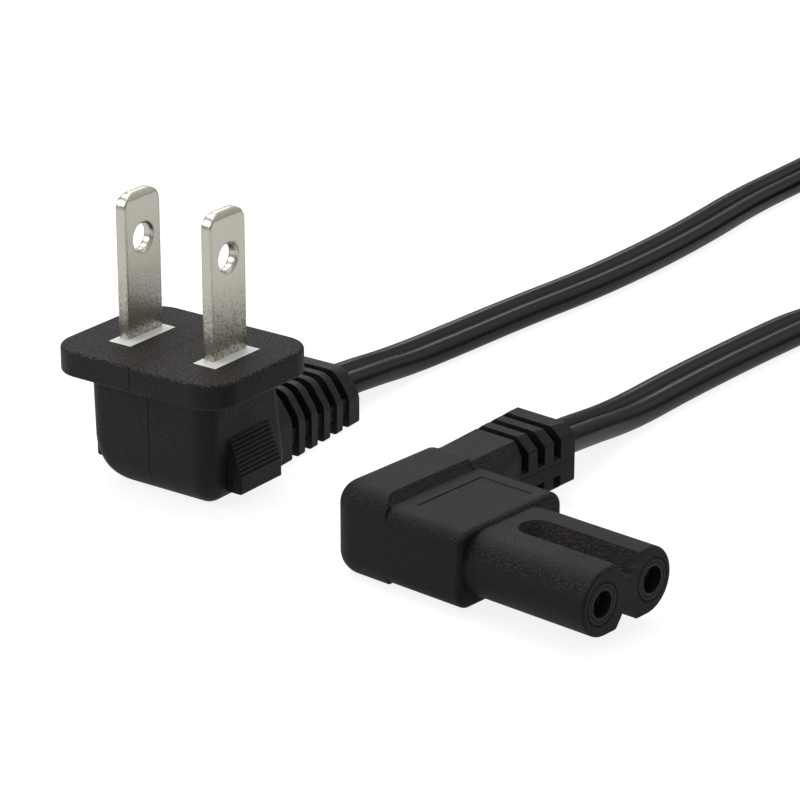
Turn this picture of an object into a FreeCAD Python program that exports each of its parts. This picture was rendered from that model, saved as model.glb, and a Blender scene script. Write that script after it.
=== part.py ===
import FreeCAD, Part
import math
import os

# A moulded mains cord set: a flat two-blade plug, its flat twin cord, and the
# right-angled two-pole connector on the cord's other end.
# Frame, in millimetres: the origin is the centre of the plug's face, +Z runs along
# the blades, +X goes from one blade to the other, and +Y is the way the cord leaves.

V = FreeCAD.Vector

# Working amounts: how far a cutter goes past a face, and what counts as on an upright or a leaning face
OVERCUT = 1.0
ON_FACE = 1e-6
NEAR_FACE = 1e-4

# Surface that the cord set lies on, below the plug's face
PLUG_HEIGHT = 17.3

# Blades
BLADE_SPACING = 12.7
BLADE_WIDTH = 6.35
BLADE_THICKNESS = 1.5
BLADE_LENGTH = 17.6
BLADE_TIP_RADIUS = 1.9
BLADE_TIP_BEVEL = 0.38
BLADE_TIP_BEVEL_LENGTH = 0.75
BLADE_EDGE_BREAK = 0.13
BLADE_HOLE_DIAMETER = 3.2
BLADE_HOLE_HEIGHT = 11.9
BLADE_HOLE_SINK = 0.3
BLADE_SHOULDER_DEPTH = 8.2
BLADE_NECK_WIDTH = 3.4

# Crimp barrels and conductors
BARREL_OUTER = 3.0
BARREL_LENGTH = 5.0
STRAND_DIAMETER = 1.25
LOBE_DIAMETER = 3.1
LOBE_SPACING = 3.0
LANE_RADIUS = 3.0
LANE_LEAN = 0.62
PLUG_LANE_BEND = 9.5
CONNECTOR_LANE_BEND = 11.0

# Flange of the plug
FLANGE_HALF_WIDTH = 12.65
FLANGE_SHIFT = 0.37
FLANGE_FRONT = 10.26
FLANGE_BACK = 9.06
FLANGE_THICKNESS = 3.15
FLANGE_CORNER_RADIUS = 4.1
FLANGE_TOP_ROUND = 0.4
FLANGE_UNDER_ROUND = 0.3

# Body of the plug below the flange
BODY_TOP_HALF_WIDTH = 9.25
BODY_FOOT_HALF_WIDTH = 8.8
BODY_FRONT = 7.0
BODY_BACK_AT_FLANGE = 5.9
BODY_BACK_AT_FOOT = 8.6
BODY_CORNER_FAR = 6.2
BODY_CORNER_NEAR = 2.6
BODY_FRONT_ROUND = 2.2
BODY_FOOT_ROUND = 4.0
BODY_BACK_ROUND = 1.2

# Finger grips on the two sides
GRIP_FRONT = 2.9
GRIP_BACK = 4.5
GRIP_TOP_DEPTH = 9.1
GRIP_RAMP_HEIGHT = 4.8
GRIP_FACE_HEIGHT = 1.95
GRIP_NEAR_REACH = 10.85
GRIP_FAR_REACH = 11.2
GRIP_FACE_ROUND = 0.3
GRIP_SET_IN = 1.0
GRIP_RIB_COUNT = 10
GRIP_RIB_RISE = 0.16
GRIP_RIB_SHARE = 0.5

# Strain relief of the plug
BOOT_END = 26.8
BOOT_ROOT_HALF_WIDTH = 7.1
BOOT_END_HALF_WIDTH = 5.8
BOOT_ROOT_TOP_DEPTH = 8.7
BOOT_END_TOP_DEPTH = 10.45
BOOT_AXIS_HEIGHT = 3.3
BOOT_SET_IN = 2.2
BOOT_CORNER_WIDTH = 2.2
BOOT_CORNER_HEIGHT = 3.1
BOOT_CORNER_ROUND = 2.4
BOOT_FOOT_ROUND = 0.4
BOOT_FIRST_SLOT = 11.8
BOOT_SLOT_COUNT = 5
BOOT_SLOT_WIDTH = 1.5
BOOT_RING_WIDTH = 1.3
BOOT_CORE_HALF_WIDTH = 4.1
BOOT_CORE_HEIGHT = 5.0
BOOT_CORE_ROUND = 1.75
BOOT_WEB_DEPTH = 14.6
BOOT_WEB_HEIGHT = 1.7
BOOT_WEB_INSET = 0.45

# White blade holder inside the plug
WINDOW_OUTER = 0.95
WINDOW_INNER = 2.35
WINDOW_FRONT = 4.8
WINDOW_BACK = 3.5
HOLDER_HALF_WIDTH = 8.25
HOLDER_TOP_DEPTH = 4.3
HOLDER_THICKNESS = 2.7
HOLDER_MARGIN = 0.5

# Place of the connector: the middle of its contacts, on the face of its nose
CONNECTOR_X = 66.5
CONNECTOR_Y = -7.2
CONNECTOR_YAW = -5.6

# Connector body, in its own frame: x along the nose, y across it, z up
CONNECTOR_HALF_HEIGHT = 5.5
CONNECTOR_BACK = 35.8
CONNECTOR_SIDE = 8.2
BACK_BLOCK_FAR_SIDE = 7.2
CONNECTOR_EDGE_ROUND = 2.7
CONNECTOR_CORNER_RADIUS = 3.4
STEP_AT = 28.4
STEP_RUN = 1.0
STEP_DROP_TOP = 1.1
STEP_DROP_FOOT = 0.7
FRONT_BLOCK_FACE = 16.5
FRONT_BLOCK_FAR_SIDE = 9.3
FRONT_BLOCK_CORNER = 1.9
FRONT_BLOCK_RIM_ROUND = 0.7
PANEL_X = (-25.6, -18.2)
PANEL_Y = (-4.9, 6.2)
PANEL_DEPTH = 0.12

# Connector nose
CONTACT_SPACING = 8.6
NOSE_HALF_WIDTH = 7.6
NOSE_HALF_HEIGHT = 3.9
NOSE_GROOVE_HALF_WIDTH = 2.1
NOSE_GROOVE_DEPTH = 2.2
NOSE_NOTCH_HALF_WIDTH = 2.0
NOSE_NOTCH_DEPTH = 1.9
NOSE_GROOVE_BACK = 12.5
NOSE_FACE_ROUND = 0.35
NOSE_GROOVE_FLOOR_SHARE = 0.28
NOSE_GROOVE_FLOOR_ROUND = 0.3

# Strain relief of the connector
RELIEF_ROOT_CENTRE = 31.9
RELIEF_ROOT_HALF_WIDTH = 3.6
RELIEF_END_CENTRE = 33.4
RELIEF_END_HALF_WIDTH = 5.1
RELIEF_START = 7.0
RELIEF_END = 26.2
RELIEF_ROOT_HALF_HEIGHT = 5.3
RELIEF_END_HALF_HEIGHT = 3.9
RELIEF_ROOT_CORNER = (2.3, 2.3)
RELIEF_END_CORNER = (1.5, 1.0)
RELIEF_FIRST_SLOT = 16.4
RELIEF_SLOT_COUNT = 3
RELIEF_SLOT_WIDTH = 1.35
RELIEF_RING_WIDTH = 1.6
RELIEF_CORE_HALF_WIDTH = 3.5
RELIEF_CORE_HALF_HEIGHT = 2.3
RELIEF_CORE_ROUND = 1.6
RELIEF_SECTION_ROUND = 0.5
GUSSET_START = 6.9
GUSSET_END = 17.4
GUSSET_START_CREASE = 27.95
GUSSET_END_CREASE = 29.5
GUSSET_START_REACH = 25.6
GUSSET_END_REACH = 28.7
GUSSET_STEEPNESS = 1.36
GUSSET_ROUND = 2.4
RELIEF_WEB_TOP = 0.5
RELIEF_WEB_FOOT = 1.5

# Contact carrier and contacts of the connector
PIN_BORE_DIAMETER = 2.36
CONTACT_TUBE_DIAMETER = 3.6
CONTACT_TUBE_LENGTH = 13.4
CONTACT_TUBE_FLOOR = 1.0
CONTACT_RECESS = 1.6
CONTACT_SLIT = 0.4
CONTACT_SHANK_DIAMETER = 1.7
FACE_HOLE_DIAMETER = 3.1
CARRIER_TUBE_DIAMETER = 4.9
CARRIER_BLOCK_LENGTH = 7.3
CARRIER_HALF_WIDTH = 6.7
CARRIER_HALF_HEIGHT = 2.9
CARRIER_ROUND = 1.7
CAP_THICKNESS = 1.2
CAP_MARGIN = 0.4
FAR_CRIMP_AT = 25.6
NEAR_CRIMP_AT = 31.4

# Flat cord, drawn plain as a round tube of the same section
CORD_TUBE_DIAMETER = 4.4
BEND_SHARE = 0.45

# Put-away coil of the cord
COIL_CENTRE_X = 38.5
COIL_CENTRE_Y = 186.0
COIL_INNER_RADIUS = 23.7
COIL_OUTER_RADIUS = 38.5
COIL_HEIGHT = 12.3
COIL_EDGE_BREAK = 1.2
COIL_TURN_WIDTH = 3.1
COIL_LEAD_LENGTH = 17.0
COIL_LEAD_DIAMETER = 4.2
COIL_LAYER_HEIGHT = 6.1
TIE_WIDTH = 7.0
TIE_THICKNESS = 0.6
TIE_CORNER_RADIUS = 1.5
TIE_PLAY = 0.1

# Levels and places that follow from the sizes above
FLOOR = -PLUG_HEIGHT
BLADE_X = BLADE_SPACING / 2
CRIMP_LEVEL = FLOOR + BOOT_AXIS_HEIGHT
CORD_LEVEL = FLOOR + CORD_TUBE_DIAMETER / 2
CONNECTOR_LEVEL = FLOOR + CONNECTOR_HALF_HEIGHT
LOBE_X = LOBE_SPACING / 2
CONTACT_Y = CONTACT_SPACING / 2
COIL_LEAD_RADIUS = COIL_OUTER_RADIUS - COIL_TURN_WIDTH / 2
COIL_UPPER_LEVEL = CORD_LEVEL + COIL_LAYER_HEIGHT


def level(z):
    """Places a flat outline (a, b) at height z."""
    return lambda a, b: V(a, b, z)


def across_x(x):
    """Places an outline (a, b) upright in the plane at x, as y and z."""
    return lambda a, b: V(x, a, b)


def across_y(y):
    """Places an outline (a, b) upright in the plane at y, as x and z."""
    return lambda a, b: V(a, y, b)


def rounded_wire(corners, place):
    """A closed wire through corners (a, b, radius), with a tangent arc at each round one."""
    arcs = []
    for index, (a, b, radius) in enumerate(corners):
        here = V(a, b, 0)
        back = V(*corners[index - 1][:2], 0) - here
        ahead = V(*corners[(index + 1) % len(corners)][:2], 0) - here
        back.normalize()
        ahead.normalize()
        half = back.getAngle(ahead) / 2
        reach = radius / math.tan(half)
        bisector = back + ahead
        bisector.normalize()
        middle = here + bisector * (radius / math.sin(half) - radius)
        arcs.append((here + back * reach, middle, here + ahead * reach, radius))
    edges = []
    for index, (start, middle, end, radius) in enumerate(arcs):
        if radius > 0:
            edges.append(Part.Arc(place(*start[:2]), place(*middle[:2]), place(*end[:2])).toShape())
        following = arcs[(index + 1) % len(arcs)][0]
        if end.distanceToPoint(following) > ON_FACE:
            edges.append(Part.LineSegment(place(*end[:2]), place(*following[:2])).toShape())
    return Part.Wire(edges)


def prism(corners, place, push):
    """The solid that an outline sweeps along a straight push."""
    return Part.Face(rounded_wire(corners, place)).extrude(push)


def block(x, y, z):
    """A box between the pairs of limits x, y and z."""
    low = V(min(x), min(y), min(z))
    return Part.makeBox(max(x) - low.x, max(y) - low.y, max(z) - low.z, low)


def rod(diameter, start, end):
    """A cylinder from one point to another."""
    along = end - start
    return Part.makeCylinder(diameter / 2, along.Length, start, along)


def middle_of(edge):
    """The point halfway along an edge."""
    return edge.valueAt((edge.FirstParameter + edge.LastParameter) / 2)


def edges_where(shape, test):
    """The edges whose end points and middle all pass a test."""
    return [edge for edge in shape.Edges
            if all(test(vertex.Point) for vertex in edge.Vertexes) and test(middle_of(edge))]


def edges_along(shape, direction):
    """The straight edges that run along a direction."""
    return [edge for edge in shape.Edges if edge.tangentAt(0).cross(direction).Length < ON_FACE]


def bends(points, radii):
    """The tangent arcs that join straight runs through points, as (start, centre, axis, turn, end)."""
    arcs = []
    for before, here, after, radius in zip(points, points[1:], points[2:], radii):
        back = before - here
        ahead = after - here
        back.normalize()
        ahead.normalize()
        half = back.getAngle(ahead) / 2
        reach = radius / math.tan(half)
        bisector = back + ahead
        bisector.normalize()
        centre = here + bisector * (radius / math.sin(half))
        turn = math.pi - 2 * half
        arcs.append((here + back * reach, centre, ahead.cross(back), turn, here + ahead * reach))
    return arcs


def bent_length(points, radii):
    """The length of straight runs through points with tangent arcs of the given radii."""
    length = 0
    start = points[0]
    for (arc_start, centre, axis, turn, arc_end), radius in zip(bends(points, radii), radii):
        length += (arc_start - start).Length + radius * turn
        start = arc_end
    return length + (points[-1] - start).Length


def tube_along(points, radii, diameter):
    """A round solid along straight runs through points, joined by tangent arcs of the given radii."""
    lengths = []
    start = points[0]
    for arc_start, centre, axis, turn, arc_end in bends(points, radii):
        disc = Part.Face(Part.Wire(Part.makeCircle(diameter / 2, arc_start, arc_start - start)))
        lengths += [rod(diameter, start, arc_start), disc.revolve(centre, axis, math.degrees(turn))]
        start = arc_end
    lengths.append(rod(diameter, start, points[-1]))
    return lengths[0].fuse(lengths[1:])


def side_step(x_from, x_to, y_from, y_bend, y_to, z):
    """The points of a lane at height z that runs along -Y and shifts from x_from to x_to at y_bend."""
    lean = abs(x_to - x_from) * LANE_LEAN
    return [V(x_from, y_from, z), V(x_from, y_bend + lean, z), V(x_to, y_bend - lean, z), V(x_to, y_to, z)]


def lane_tube(points, diameter):
    """A conductor's solid along a lane."""
    return tube_along(points, [LANE_RADIUS, LANE_RADIUS], diameter)


# Plug

def flange():
    """The rounded plate that carries the blades."""
    left = FLANGE_SHIFT - FLANGE_HALF_WIDTH
    right = FLANGE_SHIFT + FLANGE_HALF_WIDTH
    outline = [(left, -FLANGE_FRONT, FLANGE_CORNER_RADIUS), (right, -FLANGE_FRONT, FLANGE_CORNER_RADIUS),
               (right, FLANGE_BACK, FLANGE_CORNER_RADIUS), (left, FLANGE_BACK, FLANGE_CORNER_RADIUS)]
    plate = prism(outline, level(-FLANGE_THICKNESS), V(0, 0, FLANGE_THICKNESS))
    top = edges_where(plate, lambda point: abs(point.z) < ON_FACE)
    plate = plate.makeFillet(FLANGE_TOP_ROUND, top)
    under = edges_where(plate, lambda point: abs(point.z + FLANGE_THICKNESS) < ON_FACE)
    return plate.makeFillet(FLANGE_UNDER_ROUND, under)


def plug_body():
    """The moulded body under the flange: drawn in at the foot, with one broad and one tight corner."""
    top = -FLANGE_THICKNESS / 2
    front_view = [(-BODY_TOP_HALF_WIDTH, top, 0),
                  (-BODY_FOOT_HALF_WIDTH, FLOOR, BODY_CORNER_FAR),
                  (BODY_FOOT_HALF_WIDTH, FLOOR, BODY_CORNER_NEAR),
                  (BODY_TOP_HALF_WIDTH, top, 0)]
    length = BODY_FRONT + BODY_BACK_AT_FOOT
    bulk = prism(front_view, across_y(-BODY_FRONT), V(0, length, 0))
    side_view = [(-BODY_FRONT, top, 0), (-BODY_FRONT, FLOOR, BODY_FOOT_ROUND),
                 (BODY_BACK_AT_FOOT, FLOOR, 0), (BODY_BACK_AT_FLANGE, top, 0)]
    span = 2 * BODY_TOP_HALF_WIDTH
    bulk = bulk.common(prism(side_view, across_x(-BODY_TOP_HALF_WIDTH), V(span, 0, 0)))
    front_rim = edges_where(bulk, lambda point: abs(point.y + BODY_FRONT) < ON_FACE)
    front_rim = [edge for edge in front_rim if middle_of(edge).z < top - ON_FACE]
    bulk = bulk.makeFillet(BODY_FRONT_ROUND, front_rim)
    slope = (BODY_BACK_AT_FOOT - BODY_BACK_AT_FLANGE) / (FLOOR - top)

    def on_back(point):
        return abs(point.y - BODY_BACK_AT_FLANGE - slope * (point.z - top)) < NEAR_FACE

    back_rim = [edge for edge in edges_where(bulk, on_back) if middle_of(edge).z < top - ON_FACE]
    return bulk.makeFillet(BODY_BACK_ROUND, back_rim)


def body_half_width(depth):
    """Half the body's width at a depth below the face."""
    top = FLANGE_THICKNESS / 2
    share = (depth - top) / (PLUG_HEIGHT - top)
    return BODY_TOP_HALF_WIDTH + share * (BODY_FOOT_HALF_WIDTH - BODY_TOP_HALF_WIDTH)


def finger_grip(reach):
    """A ribbed ramp on the body's +X side, which a finger pulls on."""
    root = body_half_width(GRIP_TOP_DEPTH)
    inside = root - GRIP_SET_IN
    outline = [(inside, -GRIP_TOP_DEPTH, 0)]
    run = V(reach - root, -GRIP_RAMP_HEIGHT, 0)
    outward = V(GRIP_RAMP_HEIGHT, reach - root, 0)
    outward.normalize()
    for index in range(GRIP_RIB_COUNT):
        low = V(root, -GRIP_TOP_DEPTH, 0) + run * (index / GRIP_RIB_COUNT)
        high = low + run * (GRIP_RIB_SHARE / GRIP_RIB_COUNT) + outward * GRIP_RIB_RISE
        outline += [(low.x, low.y, 0), (high.x, high.y, 0)]
    face_top = GRIP_TOP_DEPTH + GRIP_RAMP_HEIGHT
    outline += [(reach, -face_top, 0), (reach, -face_top - GRIP_FACE_HEIGHT, GRIP_FACE_ROUND),
                (inside, -face_top - GRIP_FACE_HEIGHT, 0)]
    return prism(outline, across_y(-GRIP_FRONT), V(0, GRIP_FRONT + GRIP_BACK, 0))


def boot_share(y):
    """How far along the strain relief a place is, from 0 at the body to 1 at the collar."""
    return (y - BODY_BACK_AT_FOOT) / (BOOT_END - BODY_BACK_AT_FOOT)


def boot_half_width(y):
    """Half the strain relief's width at y."""
    return BOOT_ROOT_HALF_WIDTH + boot_share(y) * (BOOT_END_HALF_WIDTH - BOOT_ROOT_HALF_WIDTH)


def boot_section(y):
    """The strain relief's outline at y: flat below, with broken upper corners."""
    half = boot_half_width(y)
    top = -BOOT_ROOT_TOP_DEPTH - boot_share(y) * (BOOT_END_TOP_DEPTH - BOOT_ROOT_TOP_DEPTH)
    return rounded_wire([(-half, FLOOR, BOOT_FOOT_ROUND),
                         (half, FLOOR, BOOT_FOOT_ROUND),
                         (half, top - BOOT_CORNER_HEIGHT, BOOT_CORNER_ROUND),
                         (half - BOOT_CORNER_WIDTH, top, BOOT_CORNER_ROUND),
                         (-half + BOOT_CORNER_WIDTH, top, BOOT_CORNER_ROUND),
                         (-half, top - BOOT_CORNER_HEIGHT, BOOT_CORNER_ROUND)], across_y(y))


def plug_boot():
    """The strain relief: rings on a core, joined by a web at each side."""
    start = BODY_BACK_AT_FLANGE - BOOT_SET_IN
    boot = Part.makeLoft([boot_section(start), boot_section(BOOT_END)], True, True)
    core = block((-BOOT_CORE_HALF_WIDTH, BOOT_CORE_HALF_WIDTH), (start, BOOT_END),
                 (CRIMP_LEVEL - BOOT_CORE_HEIGHT / 2, CRIMP_LEVEL + BOOT_CORE_HEIGHT / 2))
    core = core.makeFillet(BOOT_CORE_ROUND, edges_along(core, V(0, 1, 0)))
    pitch = BOOT_SLOT_WIDTH + BOOT_RING_WIDTH
    for index in range(BOOT_SLOT_COUNT):
        near = BOOT_FIRST_SLOT + index * pitch
        far = near + BOOT_SLOT_WIDTH
        slot = block((-2 * BOOT_ROOT_HALF_WIDTH, 2 * BOOT_ROOT_HALF_WIDTH), (near, far),
                     (FLOOR - OVERCUT, 0))
        web_half = boot_half_width(far) - BOOT_WEB_INSET
        web = block((-web_half, web_half), (near, far),
                    (-BOOT_WEB_DEPTH - BOOT_WEB_HEIGHT / 2, -BOOT_WEB_DEPTH + BOOT_WEB_HEIGHT / 2))
        boot = boot.cut(slot.cut(core).cut(web))
    return boot


def plug_blade(x):
    """A blade with its hole, its shoulder in the holder, and the crimp barrel below."""
    half = BLADE_WIDTH / 2
    outline = [(-half, -BLADE_SHOULDER_DEPTH, 0), (half, -BLADE_SHOULDER_DEPTH, 0),
               (half, BLADE_LENGTH, BLADE_TIP_RADIUS), (-half, BLADE_LENGTH, BLADE_TIP_RADIUS)]
    blade = prism(outline, across_x(x - BLADE_THICKNESS / 2), V(BLADE_THICKNESS, 0, 0))

    def on_a_face(point):
        return abs(abs(point.x - x) - BLADE_THICKNESS / 2) < ON_FACE

    rim = [edge for edge in edges_where(blade, on_a_face) if middle_of(edge).z > 0]
    blade = blade.makeChamfer(BLADE_EDGE_BREAK, rim)
    thin = BLADE_THICKNESS / 2 - BLADE_TIP_BEVEL
    thick = BLADE_THICKNESS / 2
    edge_view = [(x - thick, -BLADE_SHOULDER_DEPTH, 0), (x + thick, -BLADE_SHOULDER_DEPTH, 0),
                 (x + thick, BLADE_LENGTH - BLADE_TIP_BEVEL_LENGTH, 0), (x + thin, BLADE_LENGTH, 0),
                 (x - thin, BLADE_LENGTH, 0), (x - thick, BLADE_LENGTH - BLADE_TIP_BEVEL_LENGTH, 0)]
    blade = blade.common(prism(edge_view, across_y(-BLADE_WIDTH), V(0, 2 * BLADE_WIDTH, 0)))
    neck = block((x - thick, x + thick), (-BLADE_NECK_WIDTH / 2, BLADE_NECK_WIDTH / 2),
                 (CRIMP_LEVEL + (BARREL_OUTER + STRAND_DIAMETER) / 4, -BLADE_SHOULDER_DEPTH))
    blade = blade.fuse(neck).fuse(crimp_barrel(V(x, 0, CRIMP_LEVEL), V(0, 1, 0)))
    for side in (-1, 1):
        face = V(x + side * thick, 0, BLADE_HOLE_HEIGHT)
        sink = Part.makeCone(BLADE_HOLE_DIAMETER / 2 + BLADE_HOLE_SINK, BLADE_HOLE_DIAMETER / 2,
                             BLADE_HOLE_SINK, face, V(-side, 0, 0))
        blade = blade.cut(sink)
    hole = rod(BLADE_HOLE_DIAMETER, V(x - BLADE_THICKNESS, 0, BLADE_HOLE_HEIGHT),
               V(x + BLADE_THICKNESS, 0, BLADE_HOLE_HEIGHT))
    return blade.cut(hole).removeSplitter()


def crimp_barrel(centre, along):
    """A closed barrel that is pressed on a conductor."""
    half = along * (BARREL_LENGTH / 2)
    return rod(BARREL_OUTER, centre - half, centre + half)


def blade_holder():
    """The white inner moulding, with a raised window round each blade."""
    plate = block((-HOLDER_HALF_WIDTH, HOLDER_HALF_WIDTH),
                  (-WINDOW_FRONT - HOLDER_MARGIN, WINDOW_BACK + HOLDER_MARGIN),
                  (-HOLDER_TOP_DEPTH - HOLDER_THICKNESS, -HOLDER_TOP_DEPTH))
    holder = plate.makeFillet(HOLDER_MARGIN, edges_along(plate, V(0, 0, 1)))
    for x in (-BLADE_X, BLADE_X):
        holder = holder.fuse(block((x - WINDOW_OUTER, x + WINDOW_INNER),
                                   (-WINDOW_FRONT, WINDOW_BACK), (-HOLDER_TOP_DEPTH, 0)))
    return holder.removeSplitter()


def plug_lane(side, to_y):
    """The way of one conductor in the plug, from the collar to its crimp."""
    return side_step(side * LOBE_X, side * BLADE_X, BOOT_END, PLUG_LANE_BEND, to_y, CRIMP_LEVEL)


# Connector

def connector_place(shape):
    """Turns and moves a shape from the connector's own frame to its place beside the plug."""
    placed = shape.copy()
    placed.Placement = FreeCAD.Placement(V(CONNECTOR_X, CONNECTOR_Y, CONNECTOR_LEVEL),
                                         FreeCAD.Rotation(V(0, 0, 1), CONNECTOR_YAW))
    return placed


def back_block():
    """The thick end of the connector, where the cord turns into the nose."""
    step_end = -STEP_AT + STEP_RUN
    plan = [(-CONNECTOR_BACK, -CONNECTOR_SIDE, CONNECTOR_CORNER_RADIUS),
            (step_end, -CONNECTOR_SIDE, 0),
            (step_end, BACK_BLOCK_FAR_SIDE, 0),
            (-CONNECTOR_BACK, BACK_BLOCK_FAR_SIDE, 0)]
    bulk = prism(plan, level(-CONNECTOR_HALF_HEIGHT), V(0, 0, 2 * CONNECTOR_HALF_HEIGHT))
    rims = edges_where(bulk, lambda point: abs(abs(point.z) - CONNECTOR_HALF_HEIGHT) < ON_FACE)
    outer_rims = [edge for edge in rims if middle_of(edge).x < step_end - ON_FACE
                  and middle_of(edge).y < BACK_BLOCK_FAR_SIDE - ON_FACE]
    bulk = bulk.makeFillet(CONNECTOR_EDGE_ROUND, outer_rims)
    for up, drop in ((1, STEP_DROP_TOP), (-1, STEP_DROP_FOOT)):
        high = up * CONNECTOR_HALF_HEIGHT
        wedge = [(-STEP_AT, high, 0), (-STEP_AT + STEP_RUN, high - up * drop, 0),
                 (-STEP_AT + 2 * STEP_RUN, high, 0)]
        cutter = prism(wedge, across_y(-2 * CONNECTOR_SIDE), V(0, 4 * CONNECTOR_SIDE, 0))
        bulk = bulk.cut(cutter)
    return bulk


def front_block():
    """The thinner block between the step and the nose."""
    top = CONNECTOR_HALF_HEIGHT - STEP_DROP_TOP
    foot = -CONNECTOR_HALF_HEIGHT + STEP_DROP_FOOT
    outline = [(-CONNECTOR_SIDE, foot, FRONT_BLOCK_CORNER), (FRONT_BLOCK_FAR_SIDE, foot, FRONT_BLOCK_CORNER),
               (FRONT_BLOCK_FAR_SIDE, top, FRONT_BLOCK_CORNER), (-CONNECTOR_SIDE, top, FRONT_BLOCK_CORNER)]
    length = STEP_AT - FRONT_BLOCK_FACE
    bulk = prism(outline, across_x(-STEP_AT), V(length, 0, 0))
    rim = edges_where(bulk, lambda point: abs(point.x + FRONT_BLOCK_FACE) < ON_FACE)
    bulk = bulk.makeFillet(FRONT_BLOCK_RIM_ROUND, rim)
    return bulk.cut(block(PANEL_X, PANEL_Y, (top - PANEL_DEPTH, top + OVERCUT)))


def nose():
    """The two-lobed nose, with a groove above and a shallower notch below."""
    outline = [(y, z, NOSE_HALF_HEIGHT) for y, z in ((-NOSE_HALF_WIDTH, -NOSE_HALF_HEIGHT),
                                                     (NOSE_HALF_WIDTH, -NOSE_HALF_HEIGHT),
                                                     (NOSE_HALF_WIDTH, NOSE_HALF_HEIGHT),
                                                     (-NOSE_HALF_WIDTH, NOSE_HALF_HEIGHT))]
    length = FRONT_BLOCK_FACE + FRONT_BLOCK_RIM_ROUND
    bulk = prism(outline, across_x(-length), V(length, 0, 0))
    rim = edges_where(bulk, lambda point: abs(point.x) < ON_FACE)
    bulk = bulk.makeFillet(NOSE_FACE_ROUND, rim)
    for up, half, depth in ((1, NOSE_GROOVE_HALF_WIDTH, NOSE_GROOVE_DEPTH),
                            (-1, NOSE_NOTCH_HALF_WIDTH, NOSE_NOTCH_DEPTH)):
        rim_level = up * NOSE_HALF_HEIGHT
        root = up * (NOSE_HALF_HEIGHT - depth)
        side = half * NOSE_GROOVE_FLOOR_SHARE
        outline = [(-half, rim_level, 0), (-side, root, NOSE_GROOVE_FLOOR_ROUND),
                   (side, root, NOSE_GROOVE_FLOOR_ROUND), (half, rim_level, 0),
                   (half, rim_level + up, 0), (-half, rim_level + up, 0)]
        groove = prism(outline, across_x(-NOSE_GROOVE_BACK), V(NOSE_GROOVE_BACK + OVERCUT, 0, 0))
        end = Part.makeCone(side, half, depth, V(-NOSE_GROOVE_BACK, 0, root), V(0, 0, up))
        bulk = bulk.cut(groove).cut(end)
    return bulk


def relief_half_height(y):
    """Half the connector strain relief's height at y."""
    share = (y - RELIEF_START) / (RELIEF_END - RELIEF_START)
    return RELIEF_ROOT_HALF_HEIGHT + share * (RELIEF_END_HALF_HEIGHT - RELIEF_ROOT_HALF_HEIGHT)


def relief_section(y, centre, half, half_height, corner):
    """The connector strain relief's outline at y, with broken corners."""
    inner = half - corner[0]
    lower = half_height - corner[1]
    ring = [(half, -lower), (half, lower), (inner, half_height), (-inner, half_height),
            (-half, lower), (-half, -lower), (-inner, -half_height), (inner, -half_height)]
    return rounded_wire([(a - centre, b, RELIEF_SECTION_ROUND) for a, b in ring], across_y(y))


def gusset_outline(y, crease, reach):
    """The gusset's corners at y: level with the relief on top, then down a slope to its upright side."""
    height = relief_half_height(y)
    foot = STEP_DROP_FOOT - height
    shoulder = height - (crease - reach) * GUSSET_STEEPNESS
    return [V(-RELIEF_END_CENTRE, y, foot), V(-reach, y, foot), V(-reach, y, shoulder),
            V(-crease, y, height), V(-RELIEF_END_CENTRE, y, height)]


def relief_gusset():
    """The web that runs from the connector's front block into the side of its strain relief."""
    near = gusset_outline(GUSSET_START, GUSSET_START_CREASE, GUSSET_START_REACH)
    far = gusset_outline(GUSSET_END, GUSSET_END_CREASE, GUSSET_END_REACH)
    web = Part.makeLoft([Part.makePolygon(near + near[:1]), Part.makePolygon(far + far[:1])], True, True)
    shoulder = far[2] - near[2]
    soft = edges_where(web, lambda point: (point - near[2]).cross(shoulder).Length < NEAR_FACE)
    return web.makeFillet(GUSSET_ROUND, soft)


def connector_relief():
    """The connector's strain relief: slots from above and below, with a web between them."""
    root = relief_section(RELIEF_START, RELIEF_ROOT_CENTRE, RELIEF_ROOT_HALF_WIDTH,
                          RELIEF_ROOT_HALF_HEIGHT, RELIEF_ROOT_CORNER)
    end = relief_section(RELIEF_END, RELIEF_END_CENTRE, RELIEF_END_HALF_WIDTH,
                         RELIEF_END_HALF_HEIGHT, RELIEF_END_CORNER)
    boot = Part.makeLoft([root, end], True, True).fuse(relief_gusset())
    pitch = RELIEF_SLOT_WIDTH + RELIEF_RING_WIDTH
    middle = -RELIEF_END_CENTRE
    core = block((middle - RELIEF_CORE_HALF_WIDTH, middle + RELIEF_CORE_HALF_WIDTH),
                 (RELIEF_START, RELIEF_END), (-RELIEF_CORE_HALF_HEIGHT, RELIEF_CORE_HALF_HEIGHT))
    core = core.makeFillet(RELIEF_CORE_ROUND, edges_along(core, V(0, 1, 0)))
    for index in range(RELIEF_SLOT_COUNT):
        near = RELIEF_FIRST_SLOT + index * pitch
        reach = 2 * RELIEF_END_HALF_WIDTH
        for low, high in ((RELIEF_WEB_TOP, 2 * CONNECTOR_HALF_HEIGHT),
                          (-2 * CONNECTOR_HALF_HEIGHT, -RELIEF_WEB_FOOT)):
            slot = block((middle - reach, middle + reach),
                         (near, near + RELIEF_SLOT_WIDTH), (low, high))
            boot = boot.cut(slot.cut(core))
    return boot


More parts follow.
